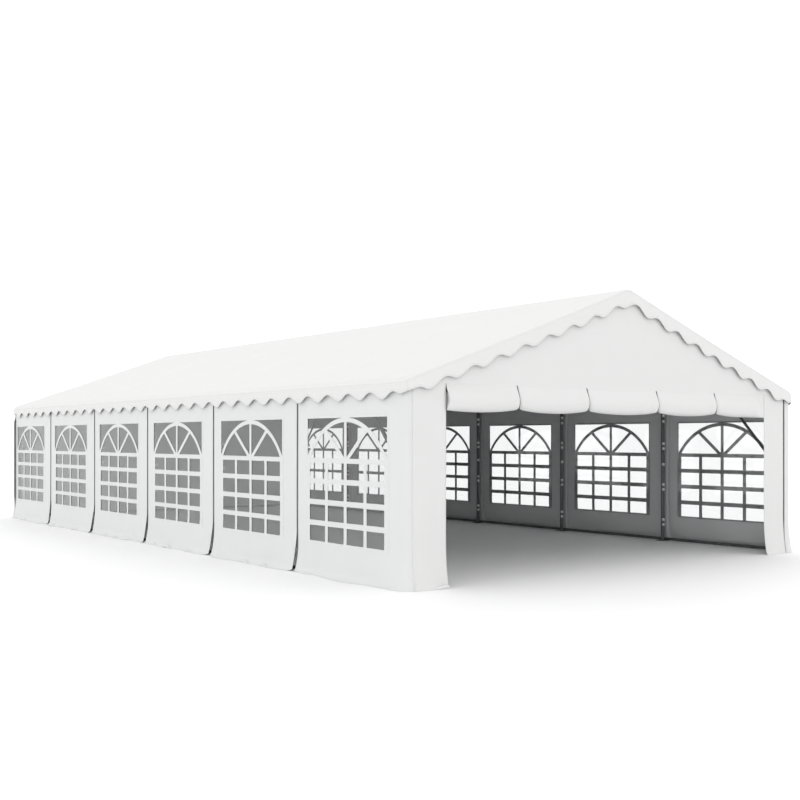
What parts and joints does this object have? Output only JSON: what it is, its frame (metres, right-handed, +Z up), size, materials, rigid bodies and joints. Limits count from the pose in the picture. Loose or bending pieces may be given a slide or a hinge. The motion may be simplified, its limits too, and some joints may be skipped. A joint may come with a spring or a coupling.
{
  "type": "party marquee tent",
  "caption": "White party marquee with a gable roof, scalloped valances, arched windows in the long walls and a rolled-up door across its open end.",
  "frame": {"origin": "on the ground under the middle of the tent", "axes": "+Z up, the ridge along Y with the open gable end at -Y and the closed one at +Y, +X to the right of someone who faces the open end from outside"},
  "size_m": [6.1754, 12.11, 3.05],
  "materials": {
    "roof_fabric": "white coated polyester, satin",
    "valance_fabric": "white coated polyester with a turned hem",
    "wall_fabric": "white coated polyester, grey lining side",
    "gable_fabric": "white coated polyester, satin",
    "window_film": "clear flexible film with white printed bars",
    "frame_steel": "grey powder coat, satin"
  },
  "bodies": {
    "root": {"roof_cover": "roof_fabric", "left_valance": "valance_fabric", "right_valance": "valance_fabric", "front_valance": "valance_fabric", "rear_valance": "valance_fabric", "left_wall_1": "wall_fabric", "left_wall_2": "wall_fabric", "left_wall_3": "wall_fabric", "left_wall_4": "wall_fabric", "left_wall_5": "wall_fabric", "left_wall_6": "wall_fabric", "right_wall_1": "wall_fabric", "right_wall_2": "wall_fabric", "right_wall_3": "wall_fabric", "right_wall_4": "wall_fabric", "right_wall_5": "wall_fabric", "right_wall_6": "wall_fabric", "front_wall": "gable_fabric", "rear_wall": "gable_fabric", "door_roll": "gable_fabric", "left_window_1": "window_film", "left_window_2": "window_film", "left_window_3": "window_film", "left_window_4": "window_film", "left_window_5": "window_film", "left_window_6": "window_film", "right_window_1": "window_film", "right_window_2": "window_film", "right_window_3": "window_film", "right_window_4": "window_film", "right_window_5": "window_film", "right_window_6": "window_film", "portal_frame_1": "frame_steel", "portal_frame_2": "frame_steel", "portal_frame_3": "frame_steel", "portal_frame_4": "frame_steel", "portal_frame_5": "frame_steel", "portal_frame_6": "frame_steel", "portal_frame_7": "frame_steel", "ridge_rail": "frame_steel", "left_eave_rail": "frame_steel", "right_eave_rail": "frame_steel", "left_ground_rail": "frame_steel", "right_ground_rail": "frame_steel", "rear_ground_rail": "frame_steel"}
  },
  "joints": []
}
